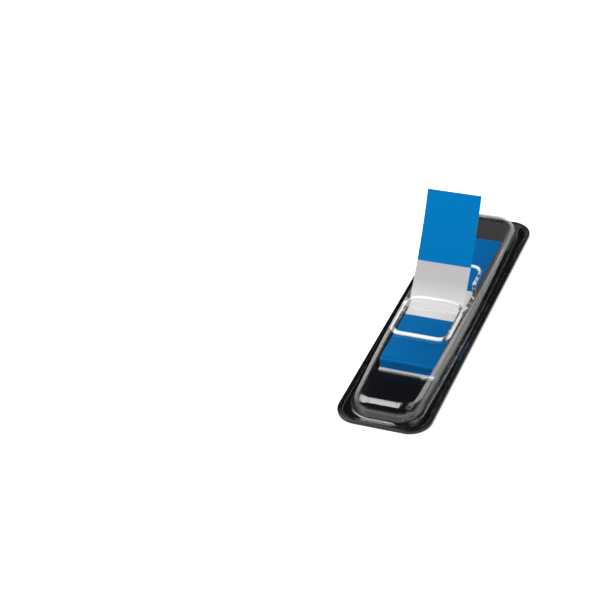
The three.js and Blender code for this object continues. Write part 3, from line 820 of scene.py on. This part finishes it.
class DISPENSER_OT_flag(bpy.types.Operator):
    """Add the raised flag: flat on the pad, then an arc, then straight up and back through the mouth"""

    bl_idname = "dispenser.flag"
    bl_label = "Raised flag"

    def execute(self, context):
        flags = settings("flags")
        radius, start, end = flags.bend_radius, flags.rise_start, flags.rise_end
        rest_z = PAD_HIGH[2] + flags.film / 2 + 0.02 * MM
        chord = (start + end) / 2
        rise = (FLAG_HIGH[2] - rest_z - radius * (1 - np.cos(start))) / np.sin(chord)
        curl = rise / 2 / np.sin((end - start) / 2)
        bend_y = FLAG_HIGH[1] - rise * np.cos(chord) - radius * np.sin(start)
        flat = np.linspace(0, 1, 24)[:-1, None] * [bend_y - FLAG_LOW[1], 0]
        bend, rising = np.linspace(0, start, 40)[:-1, None], np.linspace(start, end, 60)[:, None]
        bent = np.concatenate([np.sin(bend), 1 - np.cos(bend)], axis=1) * radius
        risen = np.concatenate([np.sin(rising) - np.sin(start), np.cos(start) - np.cos(rising)], axis=1) * curl
        corner = np.array([bend_y - FLAG_LOW[1], 0])
        top_of_bend = corner + radius * np.array([np.sin(start), 1 - np.cos(start)])
        y, z = np.concatenate([flat, corner + bent, top_of_bend + risen]).T + [[FLAG_LOW[1]], [rest_z]]
        x = np.linspace(FLAG_LOW[0], FLAG_HIGH[0], 9)
        grid = np.stack(np.broadcast_arrays(x[None, :], y[:, None], z[:, None]), axis=-1)
        piece = mesh_piece(
            "film_flag", grid.reshape(-1, 3), grid_faces(*grid.shape[:2], loop=False), flag_film(flags))
        piece.data.polygons.foreach_set("use_smooth", np.zeros(len(piece.data.polygons), dtype=bool))
        wall = piece.modifiers.new("film", "SOLIDIFY")
        wall.thickness = flags.film
        wall.offset = 0
        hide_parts("raised_flag")
        return {"FINISHED"}


class DISPENSER_OT_stage(bpy.types.Operator):
    """Add the table, the soft lights and the camera"""

    bl_idname = "dispenser.stage"
    bl_label = "Stage"

    def execute(self, context):
        stage = settings("stage")
        scene = context.scene
        scene.view_settings.view_transform = "Standard"

        mesh = bpy.data.meshes.new("table")
        mesh.from_pydata([(-3, -3, 0), (3, -3, 0), (3, 3, 0), (-3, 3, 0)], [], [(0, 1, 2, 3)])
        table = bpy.data.objects.new("table", mesh)
        scene.collection.objects.link(table)
        material, tree, shader = new_material("table", Base_Color=(*stage.floor_tint, 1), Roughness=0.9)
        shader.inputs["Specular IOR Level"].default_value = 0.0
        path = tree.nodes.new("ShaderNodeLightPath")
        mirrored = math(tree, "MULTIPLY", path.outputs["Is Glossy Ray"], stage.floor_mirrored)
        seen = math(tree, "MAXIMUM", path.outputs["Is Camera Ray"],
                    math(tree, "MAXIMUM", mirrored, path.outputs["Is Transmission Ray"]))
        shader.inputs["Emission Color"].default_value = (1, 1, 1, 1)
        place = tree.nodes.new("ShaderNodeTexCoord")
        away = new_node(tree, "ShaderNodeVectorMath", operation="LENGTH")
        tree.links.new(place.outputs["Object"], away.inputs[0])
        lift = new_node(tree, "ShaderNodeMapRange", From_Min=0.25, From_Max=1.0, To_Min=stage.floor_lift, To_Max=1.0)
        tree.links.new(away.outputs["Value"], lift.inputs["Value"])
        tree.links.new(math(tree, "MULTIPLY", seen, lift.outputs["Result"]), shader.inputs["Emission Strength"])
        mesh.materials.append(material)

        for name, towards, distance, width, height, power in (
            ("key_light", (-0.575, -0.03, 0.818), 0.9, 0.83, 0.68, stage.key_power),
            ("fill_light", (0.50, 0.15, 0.85), 0.9, 0.80, 0.50, stage.fill_power),
            ("side_light", (0.593, 0.61, 0.522), 0.9, 0.20, 0.65, stage.side_power),
        ):
            data = bpy.data.lights.new(name, "AREA")
            data.shape = "RECTANGLE"
            data.size, data.size_y, data.energy = width, height, power
            light = bpy.data.objects.new(name, data)
            away = Vector(towards).normalized()
            light.location = distance * away
            light.rotation_euler = away.to_track_quat("Z", "Y").to_euler()
            scene.collection.objects.link(light)

        world = bpy.data.worlds.new("room")
        scene.world = world
        world.use_nodes = True
        tree = world.node_tree
        background = tree.nodes["Background"]
        towards = tree.nodes.new("ShaderNodeTexCoord")
        ray = tree.nodes.new("ShaderNodeSeparateXYZ")
        tree.links.new(towards.outputs["Generated"], ray.inputs[0])
        low = new_node(tree, "ShaderNodeMapRange", interpolation_type="SMOOTHSTEP", To_Min=1.0, To_Max=0.0)
        low.inputs["From Min"].default_value, low.inputs["From Max"].default_value = 0.10, 0.42
        tree.links.new(ray.outputs["Z"], low.inputs["Value"])
        ahead = new_node(tree, "ShaderNodeMapRange", To_Min=stage.room_front, To_Max=stage.room_back)
        ahead.inputs["From Min"].default_value = -1.0
        tree.links.new(ray.outputs["Y"], ahead.inputs["Value"])
        glow = math(tree, "MULTIPLY", low.outputs["Result"], ahead.outputs["Result"])
        path = tree.nodes.new("ShaderNodeLightPath")
        room = math(tree, "ADD", glow, stage.room_dark)
        background.inputs["Color"].default_value = (1, 1, 1, 1)
        tree.links.new(math(tree, "MAXIMUM", path.outputs["Is Camera Ray"], room), background.inputs["Strength"])

        data = bpy.data.cameras.new("camera")
        data.sensor_width, data.lens, data.clip_start = 36.0, stage.lens, 0.005
        camera = bpy.data.objects.new("camera", data)
        look, up = Vector(stage.camera_look).normalized(), Vector(stage.camera_up).normalized()
        right = look.cross(up)
        turn = Matrix((right, right.cross(look), -look)).transposed()
        camera.matrix_world = Matrix.Translation(stage.camera_place) @ turn.to_4x4()
        scene.collection.objects.link(camera)
        scene.camera = camera
        return {"FINISHED"}


class DISPENSER_PT_panel(bpy.types.Panel):
    """The dispenser's pieces and their settings"""

    bl_idname = "DISPENSER_PT_panel"
    bl_label = "Flag dispenser"
    bl_space_type = "VIEW_3D"
    bl_region_type = "UI"
    bl_category = "Dispenser"

    def draw(self, context):
        for operator in OPERATORS:
            self.layout.operator(operator.bl_idname)
        for name in GROUPS:
            box = self.layout.box()
            group = settings(name)
            for key in group.__annotations__:
                box.prop(group, key)


GROUPS = {"tray": TraySettings, "cover": CoverSettings, "flags": FlagSettings, "stage": StageSettings}
OPERATORS = (
    DISPENSER_OT_stage, DISPENSER_OT_tray, DISPENSER_OT_cover, DISPENSER_OT_card, DISPENSER_OT_pad,
    DISPENSER_OT_flag,
)


def register():
    for name, group in GROUPS.items():
        bpy.utils.register_class(group)
        setattr(bpy.types.Scene, "dispenser_" + name, PointerProperty(type=group))
    for operator in OPERATORS:
        bpy.utils.register_class(operator)
    bpy.utils.register_class(DISPENSER_PT_panel)


def unregister():
    bpy.utils.unregister_class(DISPENSER_PT_panel)
    for operator in reversed(OPERATORS):
        bpy.utils.unregister_class(operator)
    for name, group in GROUPS.items():
        delattr(bpy.types.Scene, "dispenser_" + name)
        bpy.utils.unregister_class(group)


def main():
    register()
    bpy.ops.dispenser.stage()
    bpy.ops.dispenser.tray()
    bpy.ops.dispenser.cover()
    bpy.ops.dispenser.card()
    bpy.ops.dispenser.pad()
    bpy.ops.dispenser.flag()


if __name__ == "__main__":
    main()
